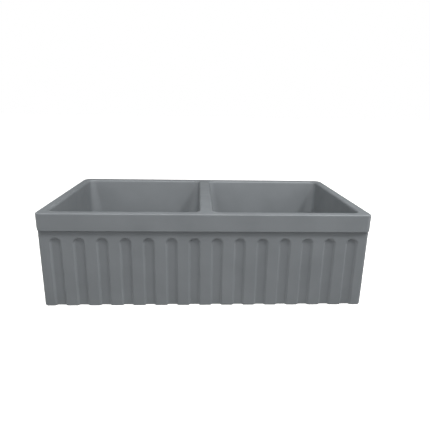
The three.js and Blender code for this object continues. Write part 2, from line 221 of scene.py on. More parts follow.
# A finish is one shade with layers over it. Each layer is a cloudy pattern whose grains have a
# real size in millimetres. It may be wound round an axis, as a lathe does, or stretched, and it
# may lay a tint over the layers before it, vary the roughness, and raise the surface by a depth.
def makeFinish(finish):
    material = newMaterial(finish["name"], finish["surface"])
    tree = material.node_tree
    surface = tree.nodes["Principled BSDF"]
    place = addNode(tree, "ShaderNodeTexCoord").outputs["Object"]
    colour = None
    normal = None
    for ownValues in finish["layers"]:
        layer = plainLayer | ownValues
        course = place
        if "lathe" in layer:
            course = woundRound(tree, place, layer["lathe"], layer["size"])
        if "stretch" in layer:
            settings = {"Scale": layer["stretch"]}
            drawn = addNode(tree, "ShaderNodeMapping", settings, {"Vector": place})
            course = drawn.outputs["Vector"]
        settings = {
            "Scale": 1 / (layer["size"] * mm),
            "Detail": layer["detail"],
            "Roughness": layer["crisp"],
        }
        grain = addNode(tree, "ShaderNodeTexNoise", settings, {"Vector": course}).outputs["Fac"]
        start, end = layer["between"]
        shares = {"From Min": start, "From Max": end}
        if "tint" in layer:
            least, most = layer["strength"]
            settings = shares | {"To Min": least, "To Max": most}
            share = addNode(tree, "ShaderNodeMapRange", settings, {"Value": grain}).outputs[0]
            # Sockets 6, 7 and 2 are the colours that the node mixes and gives.
            settings = {"data_type": "RGBA", 6: linear(finish["shade"]), 7: linear(layer["tint"])}
            links = {0: share, 6: colour} if colour else {0: share}
            colour = addNode(tree, "ShaderNodeMix", settings, links).outputs[2]
        if "roughness" in layer:
            least, most = layer["roughness"]
            settings = shares | {"To Min": least, "To Max": most}
            rough = addNode(tree, "ShaderNodeMapRange", settings, {"Value": grain}).outputs[0]
            tree.links.new(rough, surface.inputs["Roughness"])
        if "depth" in layer:
            settings = {"Strength": 1, "Distance": layer["depth"] * mm}
            links = {"Height": grain, "Normal": normal} if normal else {"Height": grain}
            normal = addNode(tree, "ShaderNodeBump", settings, links).outputs["Normal"]
    tree.links.new(colour, surface.inputs["Base Color"])
    tree.links.new(normal, surface.inputs["Normal"])
    return material


# Matt glaze fired on fireclay: it flows a little unevenly, so its broad gloss wavers, its grey
# drifts by a shade over a hand's width, and close to it has the skin of an eggshell.
mattGlaze = {
    "name": "matt grey glaze on fireclay",
    "surface": {"IOR": 1.5},
    "shade": "#74787b",
    "layers": [
        {"size": 85, "detail": 3, "tint": "#7a7e81"},
        {
            "size": 1.6, "detail": 3, "crisp": 0.7, "between": (0.56, 0.72),
            "tint": "#6b6f72", "strength": (0, 0.35),
        },
        {"size": 38, "roughness": (0.46, 0.54)},
        {"size": 30, "detail": 1, "depth": 0.12},
        {"size": 1.1, "depth": 0.012},
    ],
}
# Bare fired clay, wiped free of glaze: dull buff, with dark grog and sandy pores.
rawFireclay = {
    "name": "unglazed fireclay",
    "surface": {"Roughness": 0.92},
    "shade": "#b9aa93",
    "layers": [
        {"size": 45, "detail": 4, "tint": "#cbbfa9"},
        {
            "size": 1.3, "detail": 4, "crisp": 0.75, "between": (0.6, 0.72),
            "tint": "#7d6d58", "strength": (0, 0.6), "depth": 0.15,
        },
    ],
}

glaze = makeFinish(mattGlaze)
bareClay = makeFinish(rawFireclay)
print("the glaze and the bare clay are made")


sink = {
    "lipHeight": 45.5,  # rim band, from the rim down to its underside
    "frontLip": 6.5,  # how far the band stands out over the fluted apron
    "rearLip": 9.5,
    "sideLip": 1,
    "sideRound": 5,  # height over which the band swells out at its ends
    "lipCornerFront": 14,
    "lipCornerRear": 24,
    "bodyCorner": 9,
    "lipTopRound": 3,
    "lipUnderRound": 1.5,
    "cove": 2,  # glaze gathered in the corner under the band
    "baseRound": 6,
    "rimFront": 25,
    "rimRear": 26,
    "rimSide": 25,
    "divider": 34,
}
flutes = {
    "pitch": 57.8,
    "width": 32,
    "wall": 6.5,  # width of the rounded wall on each side of the flat bottom
    "wallTurn": 0.4,  # share of the wall that rounds over before it hollows out
    "depth": 5,
    "topGap": 17.5,
    "endMargin": 10,
    "spill": 4,  # how far the fine mesh goes past each edge
}
bowl = {
    "edge": 6,
    "corner": 20,
    "draft": 7,
    "footCorner": 42,
    "floorRound": 32,
    "floorTop": 51.4,
    "floorFall": 4,
    "recess": 57,  # radius
    "recessEdge": 1.2,
    "seat": 47.2,
    "hole": 45,  # radius
    "holeEdge": 1.5,
}
underside = {
    "roof": 28.2,
    "foot": 32,
    "web": 46,
    "corner": 30,
    "draft": 4,
    "roofRound": 7,
    "footRound": 3,
}
bodyMesh = {  # rows run level round the body, columns run up and down
    "baseRows": 5,
    "apronRows": 6,
    "archRows": 24,
    "coveRows": 4,
    "lipUnderRows": 5,
    "lipRises": (2.5, 3.5, 4.5, 6, 12, 22, 32),  # heights of rows over the band's underside
    "lipTopRows": 6,
    "fluteColumns": 40,
    "endColumns": 12,
    "rearColumns": 24,
    "cornerColumns": 10,
    "bowlColumns": 20,  # on each side
    "bowlCornerColumns": 9,
    "bowlEdgeRows": 6,
    "wallRows": 8,
    "floorRoundRows": 12,
    "floorRows": 10,
    "smallEdgeRows": 4,
    "roofRows": 6,
}
coats = {"glaze": 0, "bare": 1}  # which of the body's two materials a face has

low, high = (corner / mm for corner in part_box("sink_body"))
body = (
    low.x + sink["sideLip"],
    high.x - sink["sideLip"],
    low.y + sink["frontLip"],
    high.y - sink["rearLip"],
)
lipUnder = high.z - sink["lipHeight"]
brim = (
    sink["divider"] / 2,
    high.x - sink["rimSide"],
    low.y + sink["rimFront"],
    high.y - sink["rimRear"],
)
pocket = (
    underside["web"] / 2,
    body[1] - underside["foot"],
    body[2] + underside["foot"],
    body[3] - underside["foot"],
)
drainX = (brim[0] + brim[1]) / 2
drainY = (brim[2] + brim[3]) / 2


def smooth(share):
    share = min(max(share, 0), 1)
    return share * share * (3 - 2 * share)


def inset(box, distance):
    left, right, front, back = box
    return left + distance, right - distance, front + distance, back - distance


def evenShares(count):
    return [i / count for i in range(1, count)]


# A loop of stations round a rectangle with round corners. Each is how far it lies along X and
# along Y between the corners' centres, from -1 to 1, and the angle at which it leaves them.
def roundedLoop(sideShares, cornerSteps):
    corners = [(1, -1), (1, 1), (-1, 1), (-1, -1)]
    loop = []
    for i, (alongX, alongY) in enumerate(corners):
        nextX, nextY = corners[(i + 1) % 4]
        start = (i - 1) * pi / 2
        for step in range(cornerSteps + 1):
            loop.append((alongX, alongY, start + pi / 2 * step / cornerSteps))
        for share in sideShares[i]:
            x = alongX + (nextX - alongX) * share
            y = alongY + (nextY - alongY) * share
            loop.append((x, y, start + pi / 2))
    return loop


def loopPoint(station, box, radius):
    alongX, alongY, angle = station
    left, right, front, back = box
    x = (left + right) / 2 + alongX * ((right - left) / 2 - radius) + radius * cos(angle)
    y = (front + back) / 2 + alongY * ((back - front) / 2 - radius) + radius * sin(angle)
    return x, y


def fluteCentres():
    room = body[1] - body[0] - 2 * flutes["endMargin"]
    count = int(room // flutes["pitch"])
    return [(i - (count - 1) / 2) * flutes["pitch"] for i in range(count)]


# How deep the nearest flute is at this place on the apron. Its wall rounds over from the plain
# apron, where the glaze has run off the edge, and hollows out into the flat bottom.
def fluteDepthAt(x, z, centres):
    half = flutes["width"] / 2
    archCentre = lipUnder - flutes["topGap"] - half
    nearest = min(centres, key=lambda centre: abs(x - centre))
    away = hypot(x - nearest, max(0, z - archCentre))
    share = min(max((half - away) / flutes["wall"], 0), 1)
    rounding = flutes["wallTurn"]
    if share < rounding:
        return flutes["depth"] * share ** 2 / rounding
    return flutes["depth"] * (1 - (1 - share) ** 2 / (1 - rounding))


# The levels of the outside from the base to the rim. Each is its height, how far the band's
# projection has grown there (a share of it and a length), and how far all sides are drawn in.
def outsideLevels():
    base, cove = sink["baseRound"], sink["cove"]
    under, top = sink["lipUnderRound"], sink["lipTopRound"]
    archTop = lipUnder - flutes["topGap"]
    archStart = archTop - flutes["width"] / 2
    archEnd = archTop + flutes["spill"]
    apronRows, archRows = bodyMesh["apronRows"], bodyMesh["archRows"]
    levels = []
    for ahead, aside in quarterRound(base, bodyMesh["baseRows"]):
        levels.append((aside, 0, 0, base - ahead))
    for i in range(1, apronRows):
        levels.append((base + (archStart - base) * i / apronRows, 0, 0, 0))
    for i in range(archRows + 1):
        levels.append((archStart + (archEnd - archStart) * i / archRows, 0, 0, 0))
    for ahead, aside in quarterRound(cove, bodyMesh["coveRows"]):
        levels.append((lipUnder - cove + ahead, 0, aside, 0))
    for ahead, aside in quarterRound(under, bodyMesh["lipUnderRows"]):
        levels.append((lipUnder + aside, 1, ahead - under, 0))
    for rise in bodyMesh["lipRises"]:
        levels.append((lipUnder + rise, 1, 0, 0))
    for ahead, aside in quarterRound(top, bodyMesh["lipTopRows"]):
        levels.append((high.z - top + ahead, 1, 0, aside))
    return levels


# The stations round the outside, with narrow columns over each flute.
def outsideLoop():
    columns, centres = bodyMesh["fluteColumns"], fluteCentres()
    straight = body[1] - sink["bodyCorner"]
    reach = flutes["width"] / 2 + flutes["spill"]
    offsets = [reach * (2 * i / columns - 1) for i in range(columns + 1)]
    columnsAt = [centre + offset for centre in centres for offset in offsets]
    columnsAt += [centre + flutes["pitch"] / 2 for centre in centres[:-1]]
    front = [(x + straight) / (2 * straight) for x in sorted(columnsAt)]
    end, rear = evenShares(bodyMesh["endColumns"]), evenShares(bodyMesh["rearColumns"])
    return roundedLoop([end, rear, end, front], bodyMesh["cornerColumns"])


def layOutside(bm):
    centres = fluteCentres()
    loop = outsideLoop()
    levels = outsideLevels()

    def place(column, row):
        station = loop[column % len(loop)]
        z, share, length, drawnIn = levels[row]
        frontLedge = share * sink["frontLip"] + length
        rearLedge = share * sink["rearLip"] + length
        end = sink["sideLip"] * smooth((z - lipUnder) / sink["sideRound"])
        nearRear = (station[1] + 1) / 2
        corner = sink["lipCornerFront"] * (1 - nearRear) + sink["lipCornerRear"] * nearRear
        corner = sink["bodyCorner"] + (corner - sink["bodyCorner"]) * share
        box = (body[0] - end, body[1] + end, body[2] - frontLedge, body[3] + rearLedge)
        x, y = loopPoint(station, inset(box, drawnIn), corner - drawnIn)
        onApron = station[1] == -1 and abs(cos(station[2])) < tiny and z < lipUnder
        if onApron:
            y += fluteDepthAt(x, z, centres)
        return x, y, z

    laySkin(bm, len(loop), len(levels) - 1, place)


# The point of a circle round the drain that lies towards this station of the bowl's wall.
def circlePoint(station, radius):
    x, y = loopPoint(station, inset(brim, bowl["draft"]), bowl["footCorner"])
    angle = atan2(y - drainY, x - drainX)
    return drainX + radius * cos(angle), drainY + radius * sin(angle)


# Each ring of a bowl is a height and a way to find the point of a station on it. A blended ring
# lies between a box with round corners, at share 0, and a circle, at share 1.
def boxRing(z, box, distance, corner):
    return z, lambda station: loopPoint(station, inset(box, distance), corner)


def circleRing(z, radius):
    return z, lambda station: circlePoint(station, radius)


def blendedRing(z, box, distance, corner, radius, share):
    def pointAt(station):
        onBox = loopPoint(station, inset(box, distance), corner)
        onCircle = circlePoint(station, radius)
        return tuple(a + (b - a) * share for a, b in zip(onBox, onCircle))

    return z, pointAt


# From the brim down the wall, over the floor and through the drain hole.
def glazedRings():
    edge, corner, footCorner = bowl["edge"], bowl["corner"], bowl["footCorner"]
    draft, floorRound, floorFall = bowl["draft"], bowl["floorRound"], bowl["floorFall"]
    recess, recessEdge = bowl["recess"], bowl["recessEdge"]
    hole, holeEdge = bowl["hole"], bowl["holeEdge"]
    wallRows, floorRows = bodyMesh["wallRows"], bodyMesh["floorRows"]
    floorEdge = bowl["floorTop"] + floorFall
    wallTop, wallFoot = high.z - edge, floorEdge + floorRound
    rings = []
    for ahead, aside in quarterRound(edge, bodyMesh["bowlEdgeRows"]):
        rings.append(boxRing(high.z - aside, brim, ahead - edge, corner + edge - ahead))
    for i in range(1, wallRows):
        share = i / wallRows
        z = wallTop + (wallFoot - wallTop) * share
        rings.append(boxRing(z, brim, draft * share, corner + (footCorner - corner) * share))
    for ahead, aside in quarterRound(floorRound, bodyMesh["floorRoundRows"]):
        rings.append(boxRing(wallFoot - ahead, brim, draft + aside, footCorner - aside))
    for i in range(1, floorRows):
        share = i / floorRows
        z = floorEdge - floorFall * smooth(share)
        distance, floorCorner = draft + floorRound, footCorner - floorRound
        rings.append(blendedRing(z, brim, distance, floorCorner, recess + recessEdge, share))
    for ahead, aside in quarterRound(recessEdge, bodyMesh["smallEdgeRows"]):
        rings.append(circleRing(bowl["floorTop"] - aside, recess + recessEdge - ahead))
    for ahead, aside in quarterRound(recessEdge, bodyMesh["smallEdgeRows"]):
        rings.append(circleRing(bowl["seat"] + recessEdge - ahead, recess - aside))
    for ahead, aside in quarterRound(holeEdge, bodyMesh["smallEdgeRows"]):
        rings.append(circleRing(bowl["seat"] - aside, hole + holeEdge - ahead))
    return rings


# From the foot of the drain hole out over the roof of the hollow and down to its foot.
def bareRings():
    roof, roofRound, footRound = underside["roof"], underside["roofRound"], underside["footRound"]
    hole, holeEdge = bowl["hole"], bowl["holeEdge"]
    roofInset, roofCorner = underside["draft"] + roofRound, underside["corner"] - roofRound
    roofRows = bodyMesh["roofRows"]
    rings = []
    for ahead, aside in quarterRound(holeEdge, bodyMesh["smallEdgeRows"]):
        rings.append(circleRing(roof + holeEdge - ahead, hole + aside))
    for i in range(1, roofRows + 1):
        share = 1 - i / roofRows
        rings.append(blendedRing(roof, pocket, roofInset, roofCorner, hole + holeEdge, share))
    for ahead, aside in quarterRound(roofRound, roofRows):
        rings.append(boxRing(roof - aside, pocket, roofInset - ahead, roofCorner + ahead))
    for ahead, aside in quarterRound(footRound, bodyMesh["smallEdgeRows"]):
        rings.append(boxRing(footRound - ahead, pocket, -aside, underside["corner"] + aside))
    return rings


def layRings(bm, side, rings, coat):
    columns = [evenShares(bodyMesh["bowlColumns"])] * 4
    loop = roundedLoop(columns, bodyMesh["bowlCornerColumns"])

    def place(column, row):
        z, pointAt = rings[row]
        x, y = pointAt(loop[column % len(loop)])
        return side * x, y, z

    laySkin(bm, len(loop), len(rings) - 1, place, coat)


def fillFlat(bm, height, coat):
    edges = [
        edge for edge in bm.edges
        if edge.is_boundary and all(abs(vert.co.z - height * mm) < weldGap for vert in edge.verts)
    ]
    filled = bmesh.ops.triangle_fill(bm, use_beauty=True, edges=edges)
    for face in filled["geom"]:
        if isinstance(face, bmesh.types.BMFace):
            face.material_index = coat


def addSink():
    bm = bmesh.new()
    layOutside(bm)
    for side in sides.values():
        glazed = glazedRings()
        layRings(bm, side, glazed, coats["glaze"])
        layRings(bm, side, [glazed[-1], *bareRings()], coats["bare"])
    bmesh.ops.remove_doubles(bm, verts=bm.verts, dist=weldGap)
    fillFlat(bm, high.z, coats["glaze"])
    fillFlat(bm, 0, coats["bare"])
    finishPiece("fireclayBody", bm, "root", ["sink_body"], [glaze, bareClay])


addSink()
print("the fireclay body is made")


# Zinc cast in a die and barrel plated: a dull cool grey with a pebbled skin and cloudy plating.
castZinc = {
    "name": "die-cast zinc, dull plated",
    "surface": {"Metallic": 1},
    "shade": "#9fa1a1",
    "layers": [
        {"size": 9, "detail": 4, "tint": "#b6b7b4", "roughness": (0.42, 0.56)},
        {"size": 0.8, "depth": 0.05},
    ],
}
# Brass rod turned on a lathe: warm and bright, with tool rings and a brown bloom of handling.
# Real rings are about 0.1 mm apart; they are drawn at 0.4 mm so that they show.
turnedBrass = {
    "name": "turned brass rod",
    "surface": {"Metallic": 1},
    "shade": "#d8b26a",
    "layers": [
        {"size": 5, "detail": 4, "between": (0.4, 0.75), "tint": "#a97f45", "strength": (0, 0.6)},
        {
            "size": 0.4, "detail": 3, "crisp": 0.6, "lathe": (drainX, drainY),
            "roughness": (0.22, 0.38), "depth": 0.01,
        },
    ],
}
# Moulded black rubber: no shine, a faint grey bloom of talc and the fine grain of its mould.
mouldedRubber = {
    "name": "moulded black rubber",
    "surface": {"IOR": 1.52},
    "shade": "#1d1e1f",
    "layers": [
        {
            "size": 7, "detail": 5, "crisp": 0.65, "between": (0.45, 0.75),
            "tint": "#3c3d3d", "strength": (0, 0.5), "roughness": (0.62, 0.85),
        },
        {"size": 0.5, "depth": 0.02},
    ],
}
# A ring of sealing putty, rolled by hand and squeezed flat: soft, oily and dimpled.
sealingPutty = {
    "name": "sealing putty",
    "surface": {"Roughness": 0.75},
    "shade": "#a8a292",
    "layers": [
        {"size": 6, "detail": 4, "tint": "#bcb6a5"},
        {"size": 1.5, "detail": 3, "depth": 0.12},
    ],
}
# Vulcanised fibre board, punched out of sheet: tan, with long paper fibres lying flat in it.
pressedFibre = {
    "name": "pressed fibre board",
    "surface": {"Roughness": 0.85},
    "shade": "#a98d66",
    "layers": [
        {
            "size": 0.7, "detail": 5, "crisp": 0.7, "stretch": (1, 0.12, 1),
            "tint": "#c3a980", "depth": 0.06,
        },
    ],
}
# Injection-moulded nylon: milky white, with a satin skin and faint flow marks.
mouldedNylon = {
    "name": "moulded white nylon",
    "surface": {"IOR": 1.53},
    "shade": "#dcdad2",
    "layers": [
        {"size": 4, "detail": 3, "tint": "#e8e6df", "roughness": (0.38, 0.5)},
        {"size": 0.6, "depth": 0.01},
    ],
}


# Stainless steel sheet, pressed and then brushed on a wheel. Real brush lines are about 0.05 mm
# apart; they are drawn at 0.35 mm so that they show as soft rings in the gloss.
def brushedSteel(name, shade, roughness, depth):
    return {
        "name": name,
        "surface": {"Metallic": 1},
        "shade": shade,
        "layers": [
            {"size": 12, "detail": 3, "tint": "#c4c3c0"},
            {
                "size": 0.35, "detail": 3, "crisp": 0.6, "lathe": (drainX, drainY),
                "tint": "#8f9294", "strength": (0, 0.3), "roughness": roughness, "depth": depth,
            },
        ],
    }


polishedSteel = makeFinish(
    brushedSteel("polished stainless steel", "#d6d6d4", roughness=(0.1, 0.26), depth=0.004)
)
satinSteel = makeFinish(
    brushedSteel("satin stainless steel", "#cfcfcd", roughness=(0.24, 0.4), depth=0.01)
)
zinc = makeFinish(castZinc)
brass = makeFinish(turnedBrass)
rubber = makeFinish(mouldedRubber)
putty = makeFinish(sealingPutty)
fibre = makeFinish(pressedFibre)
nylon = makeFinish(mouldedNylon)
print("the metals, rubber, putty, fibre and nylon are made")


# In the strainers' values, widths are radii and heights are counted from the flange's top.
fit = {
    "seat": 0.3,  # between two pieces that touch
    "slide": 0.35,  # round a piece that slides or is pushed in
}
turnedColumns = 96  # faces round a turned piece that has no number of its own
strainer = {
    "flangeTop": 51,  # over the base of the sink
    "flange": 56,
    "flangeThick": 2,
    "dome": 0.8,
    "domeEdge": 6,  # width over which the flange falls away at its rim
    "domeFall": 0.3,  # share of the dome's height that has gone where that starts
    "cup": 42,
    "bore": 40,
    "mouthWidth": 2,
    "mouthDepth": 1.8,
    "ledge": 38,
    "ledgeHeight": -7,
    "cupFloor": -38.8,
    "cupBottom": -41,
    "outlet": 24,
    "throat": 20,
    "outletEnd": -50,
    "cupThreadTop": -25,
    "threadPitch": 2.31,
    "threadDepth": 0.9,
    "threadFade": 1.2,
    "threadGap": 0.5,  # plain part between a corner and the thread
    "threadRows": 7,  # for each turn
    "threadNear": 0.01,  # a point nearer than this to a threaded face lies on it
    "columns": 128,
}
cross = {
    "top": -41.3,
    "thick": 2.2,
    "width": 3,
    "bars": 4,
    "barEdge": 0.5,
    "root": 0.3,  # how far a bar runs into the wall and into the hub
    "hub": 7,
    "hubEdge": 0.4,
    "bore": 4.5,
    "columns": 48,
}


# A screw thread in the outside of the cup and of the outlet, fading out at both ends.
def threaded(angle, radius, height):
    s = strainer
    spans = [
        (s["cup"], s["cupBottom"], s["cupThreadTop"]),
        (s["outlet"], s["outletEnd"], s["cupBottom"]),
    ]
    for threadRadius, bottom, top in spans:
        if abs(radius - threadRadius) < s["threadNear"] and bottom < height < top:
            fade = smooth((height - bottom) / s["threadFade"])
            fade *= smooth((top - height) / s["threadFade"])
            wave = 0.5 - 0.5 * cos(2 * pi * height / s["threadPitch"] - angle)
            return radius - s["threadDepth"] * wave * fade
    return radius


def threadRows(radius, bottom, top):
    count = int((top - bottom) / strainer["threadPitch"] * strainer["threadRows"])
    return [(radius, bottom + (top - bottom) * i / count, 0) for i in range(1, count)]


def strainerPath():
    s, gap = strainer, strainer["threadGap"]
    return softened([
        (s["throat"], s["outletEnd"], 0.4),
        (s["outlet"], s["outletEnd"], gap),
        *threadRows(s["outlet"], s["outletEnd"] + gap, s["cupBottom"] - gap),
        (s["outlet"], s["cupBottom"], 0.4),
        (s["cup"], s["cupBottom"], gap),
        *threadRows(s["cup"], s["cupBottom"] + gap, s["cupThreadTop"]),
        (s["cup"], -s["flangeThick"], 0.6),
        (s["flange"], -s["flangeThick"], 0.3),
        (s["flange"], -s["dome"], 0.5),
        (s["flange"] - s["domeEdge"], -s["dome"] * s["domeFall"], 3),
        (s["bore"] + s["mouthWidth"], 0, 1.6),
        (s["bore"], -s["mouthDepth"], 1.2),
        (s["bore"], s["ledgeHeight"], 0.5),
        (s["ledge"], s["ledgeHeight"], 0.7),
        (s["ledge"], s["cupFloor"], 4),
        (s["throat"], s["cupFloor"], 0.9),
    ])


def addStrainerBody(side, centre):
    bm = bmesh.new()
    turn(bm, centre, strainerPath(), strainer["columns"], threaded)
    bottom = cross["top"] - cross["thick"]
    hub = washerPath(cross["bore"], cross["hub"], bottom, cross["top"], cross["hubEdge"])
    turn(bm, centre, hub, cross["columns"])
    start, end = cross["hub"] - cross["root"], strainer["throat"] + cross["root"]
    size = Vector((end - start, cross["width"], cross["thick"])) * mm
    middle = Vector(((start + end) / 2, 0, (bottom + cross["top"]) / 2)) * mm
    for i in range(cross["bars"]):
        place = (
            Matrix.Translation(Vector(centre) * mm)
            @ Matrix.Rotation(2 * pi * i / cross["bars"], 4, "Z")
            @ Matrix.Translation(middle)
            @ Matrix.Diagonal((*size, 1))
        )
        bar = bmesh.ops.create_cube(bm, size=1, matrix=place)["verts"]
        edges = list({edge for vert in bar for edge in vert.link_edges})
        bmesh.ops.bevel(
            bm, geom=edges, offset=cross["barEdge"] * mm, segments=3, profile=0.5,
            affect="EDGES", material=-1,
        )
    nodes = [f"strainer_body_{side}"]
    finishPiece(f"strainerBody_{side}", bm, "root", nodes, [polishedSteel])


seals = {
    "puttyBottom": -3.5,
    "puttyTop": -2.3,
    "puttyRound": 0.5,
    "gasketTop": -23.1,
    "gasketThick": 3,
    "gasketWidth": 12,
    "gasketRound": 0.8,
    "fibreTop": -26.4,
    "fibreThick": 1.5,
    "fibreWidth": 11,
    "fibreRound": 0.2,
}
nut = {
    "top": -28.2,
    "height": 11,
    "width": 8,
    "lugs": 8,
    "lugReach": 5,
    "lugShare": 0.45,  # part of the pitch that a lug takes up
    "lugFlank": 0.04,
    "collar": 3,  # plain ring beside the thread, which the lugs don't draw out
    "columns": 320,
}


# Makes a piece by turning its outline. It replaces the node of its name.
def addTurned(
    name, side, centre, path, body, material, columns=turnedColumns, radiusAt=None
):
    bm = bmesh.new()
    turn(bm, centre, path, columns, radiusAt)
    words = name.split("_")
    pieceName = words[0] + "".join(word.capitalize() for word in words[1:])
    nodes = [f"{name}_{side}"]
    finishPiece(f"{pieceName}_{side}", bm, body, nodes, [material])


def addSeals(side, centre):
    s, cup = seals, strainer["cup"]
    near = cup + fit["slide"]
    inner, outer = bowl["hole"] + fit["seat"], strainer["flange"] - fit["seat"]
    path = washerPath(inner, outer, s["puttyBottom"], s["puttyTop"], s["puttyRound"])
    addTurned("flange_seal", side, centre, path, "root", putty)
    bottom = s["gasketTop"] - s["gasketThick"]
    path = washerPath(near, cup + s["gasketWidth"], bottom, s["gasketTop"], s["gasketRound"])
    addTurned("rubber_gasket", side, centre, path, "root", rubber)
    bottom = s["fibreTop"] - s["fibreThick"]
    path = washerPath(near, cup + s["fibreWidth"], bottom, s["fibreTop"], s["fibreRound"])
    addTurned("friction_ring", side, centre, path, "root", fibre)


def addLocknut(side, centre):
    near, outer = strainer["cup"] + fit["slide"], strainer["cup"] + nut["width"]
    bottom = nut["top"] - nut["height"]

    def lugged(angle, radius, height):
        part = (angle * nut["lugs"] / (2 * pi)) % 1
        rise = smooth(part / nut["lugFlank"])
        rise *= smooth((nut["lugShare"] - part) / nut["lugFlank"])
        drawnOut = smooth((radius - near - nut["collar"]) / (outer - near - nut["collar"]))
        return radius + nut["lugReach"] * rise * drawnOut

    path = softened([
        (near, bottom, 0.8),
        (near + nut["collar"], bottom, 0),
        (outer, bottom, 1),
        (outer, nut["top"], 0.7),
        (near + nut["collar"], nut["top"], 0),
        (near, nut["top"], 0.6),
    ])
    addTurned("locknut", side, centre, path, "root", zinc, nut["columns"], lugged)


basket = {
    "rim": 39.65,
    "rimInner": 36.3,
    "rimTop": -5.2,
    "rimBottom": -6.7,
    "rimRound": 0.6,
    "shoulder": 37.5,
    "foot": 31,
    "footRound": 4,
    "footRows": 6,
    "bottom": -23.3,
    "wall": 1,
    "hub": 6.35,
    "hole": 2.2,
    "holeEdge": 0.12,
    "holeEdgeFrom": 60,  # degrees between two faces from which their edge gets that round
    "holeRows": 4,  # from a hole to the edges of its patch of sheet
    "holeCrowding": 1.4,  # draws those rows together round the hole
    "rows": 2,
    "holesPerRow": 14,
    "stepsAlong": 8,  # along the wall for each hole
    "stepsUp": 4,
    "floorHoles": 8,
    "floorHoleInset": 6,
    "floorStepsUp": 6,
}


# A sheet round a hole at (0, 0), out to the four edges of its box: left, right, bottom, top.
def layHoled(bm, box, along, up, place):
    left, right, bottom, top = box
    total = 2 * (along + up)
    hole, rows = basket["hole"], basket["holeRows"]

    def border(step):
        if step <= up:
            return right, bottom + (top - bottom) * step / up
        if step <= up + along:
            return right - (right - left) * (step - up) / along, top
        if step <= 2 * up + along:
            return left, top - (top - bottom) * (step - up - along) / up
        return left + (right - left) * (step - 2 * up - along) / along, bottom

    def lay(column, row):
        step = column % total
        angle = 2 * pi * (step - up / 2) / total
        outwards = (row / rows) ** basket["holeCrowding"]
        onHole = Vector((hole * cos(angle), hole * sin(angle)))
        return place(*onHole.lerp(Vector(border(step)), outwards))

    laySkin(bm, total, rows, lay)


# The basket is one pressed sheet, punched in its wall and floor, with a rolled rim.
def addBasket(side, centre):
    b = basket
    x, y, z = centre
    wallBottom = b["bottom"] + b["footRound"]
    wallHeight = b["rimBottom"] - wallBottom
    rowHeight = wallHeight / b["rows"]
    inside = b["foot"] - b["footRound"]
    circle = inside - b["floorHoleInset"]
    columns = b["stepsAlong"] * b["holesPerRow"]
    bm = bmesh.new()

    def around(angle, radius, height):
        return x + radius * cos(angle), y + radius * sin(angle), z + height

    def layWallHole(middleAngle, middleHeight):
        reach = pi / b["holesPerRow"] * (b["foot"] + b["shoulder"]) / 2

        def onCone(u, v):
            height = middleHeight + v
            share = (height - wallBottom) / wallHeight
            radius = b["foot"] + (b["shoulder"] - b["foot"]) * share
            return around(middleAngle + u / reach * pi / b["holesPerRow"], radius, height)

        box = (-reach, reach, -rowHeight / 2, rowHeight / 2)
        layHoled(bm, box, b["stepsAlong"], b["stepsUp"], onCone)

    def layFloorHole(middleAngle):
        reach = pi / b["floorHoles"] * circle

        def onFloor(u, v):
            return around(middleAngle + u / circle, circle + v, b["bottom"])

        box = (-reach, reach, b["hub"] - circle, inside - circle)
        layHoled(bm, box, columns // b["floorHoles"], b["floorStepsUp"], onFloor)

    for row in range(b["rows"]):
        for i in range(b["holesPerRow"]):
            middleAngle = pi / 2 + 2 * pi * (i + (row % 2) / 2) / b["holesPerRow"]
            layWallHole(middleAngle, wallBottom + rowHeight * (row + 0.5))
    for i in range(b["floorHoles"]):
        layFloorHole(2 * pi * i / b["floorHoles"])
    foot = quarterRound(b["footRound"], b["footRows"])
    turn(bm, centre, [(inside + ahead, b["bottom"] + aside) for ahead, aside in foot], columns)
    neck = [(b["shoulder"], b["rimBottom"]), (b["shoulder"], b["rimBottom"] + b["wall"] / 2)]
    turn(bm, centre, neck, columns)
    bmesh.ops.remove_doubles(bm, verts=bm.verts, dist=weldGap)
    bmesh.ops.recalc_face_normals(bm, faces=bm.faces)
    sheet = [*bm.verts, *bm.edges, *bm.faces]
    bmesh.ops.solidify(bm, geom=sheet, thickness=b["wall"] * mm)
    sharp = [edge for edge in bm.edges if edge.calc_face_angle(0) > radians(b["holeEdgeFrom"])]
    bmesh.ops.bevel(
        bm, geom=sharp, offset=b["holeEdge"] * mm, segments=2, profile=0.5,
        affect="EDGES", material=-1,
    )
    rim = washerPath(b["rimInner"], b["rim"], b["rimBottom"], b["rimTop"], b["rimRound"])
    turn(bm, centre, rim, columns)
    nodes = [f"basket_{side}"]
    finishPiece(f"basket_{side}", bm, f"basket_{side}", nodes, [satinSteel])


stopper = {
    "stem": 4,
    "spigot": 3,
    "stemBottom": -43.5,
    "stemColumns": 48,
    "bush": 6,
    "bushFlange": 8.5,
    "bushBottom": -24.9,
    "bushFlareTop": -23.6,
    "bushSeat": -22,
    "bushTop": -19.5,
    "bushColumns": 64,
    "knob": 12.5,
    "knobTop": -0.5,
    "knobDish": 0.4,
    "dishEdge": 0.7,  # shares of the knob's radius at which its dish starts and is flat
    "dishFlat": 0.5,
    "knobDisc": 5,
    "knobNeck": 6,
    "knobNeckHeight": 6,
    "knobCrown": 2.5,
    "knobColumns": 72,
    "plate": 22,
    "plateBottom": -35.2,
    "plateTop": -33.2,
    "plateRound": 0.6,
    "seal": 27,
    "sealBottom": -38.5,
    "sealTop": -35.5,
    "sealRound": 1.1,
    "clip": 6.5,
    "clipBottom": -40,
    "clipTop": -38.8,
    "clipRound": 0.25,
    "clipTeeth": 6,
    "clipSlot": 1.4,  # how deep the slots between its teeth are
    "slotFlank": 4,  # how steep a slot's sides are
    "slotStart": 2.5,  # a higher value makes the slots narrower
    "clipColumns": 144,
}


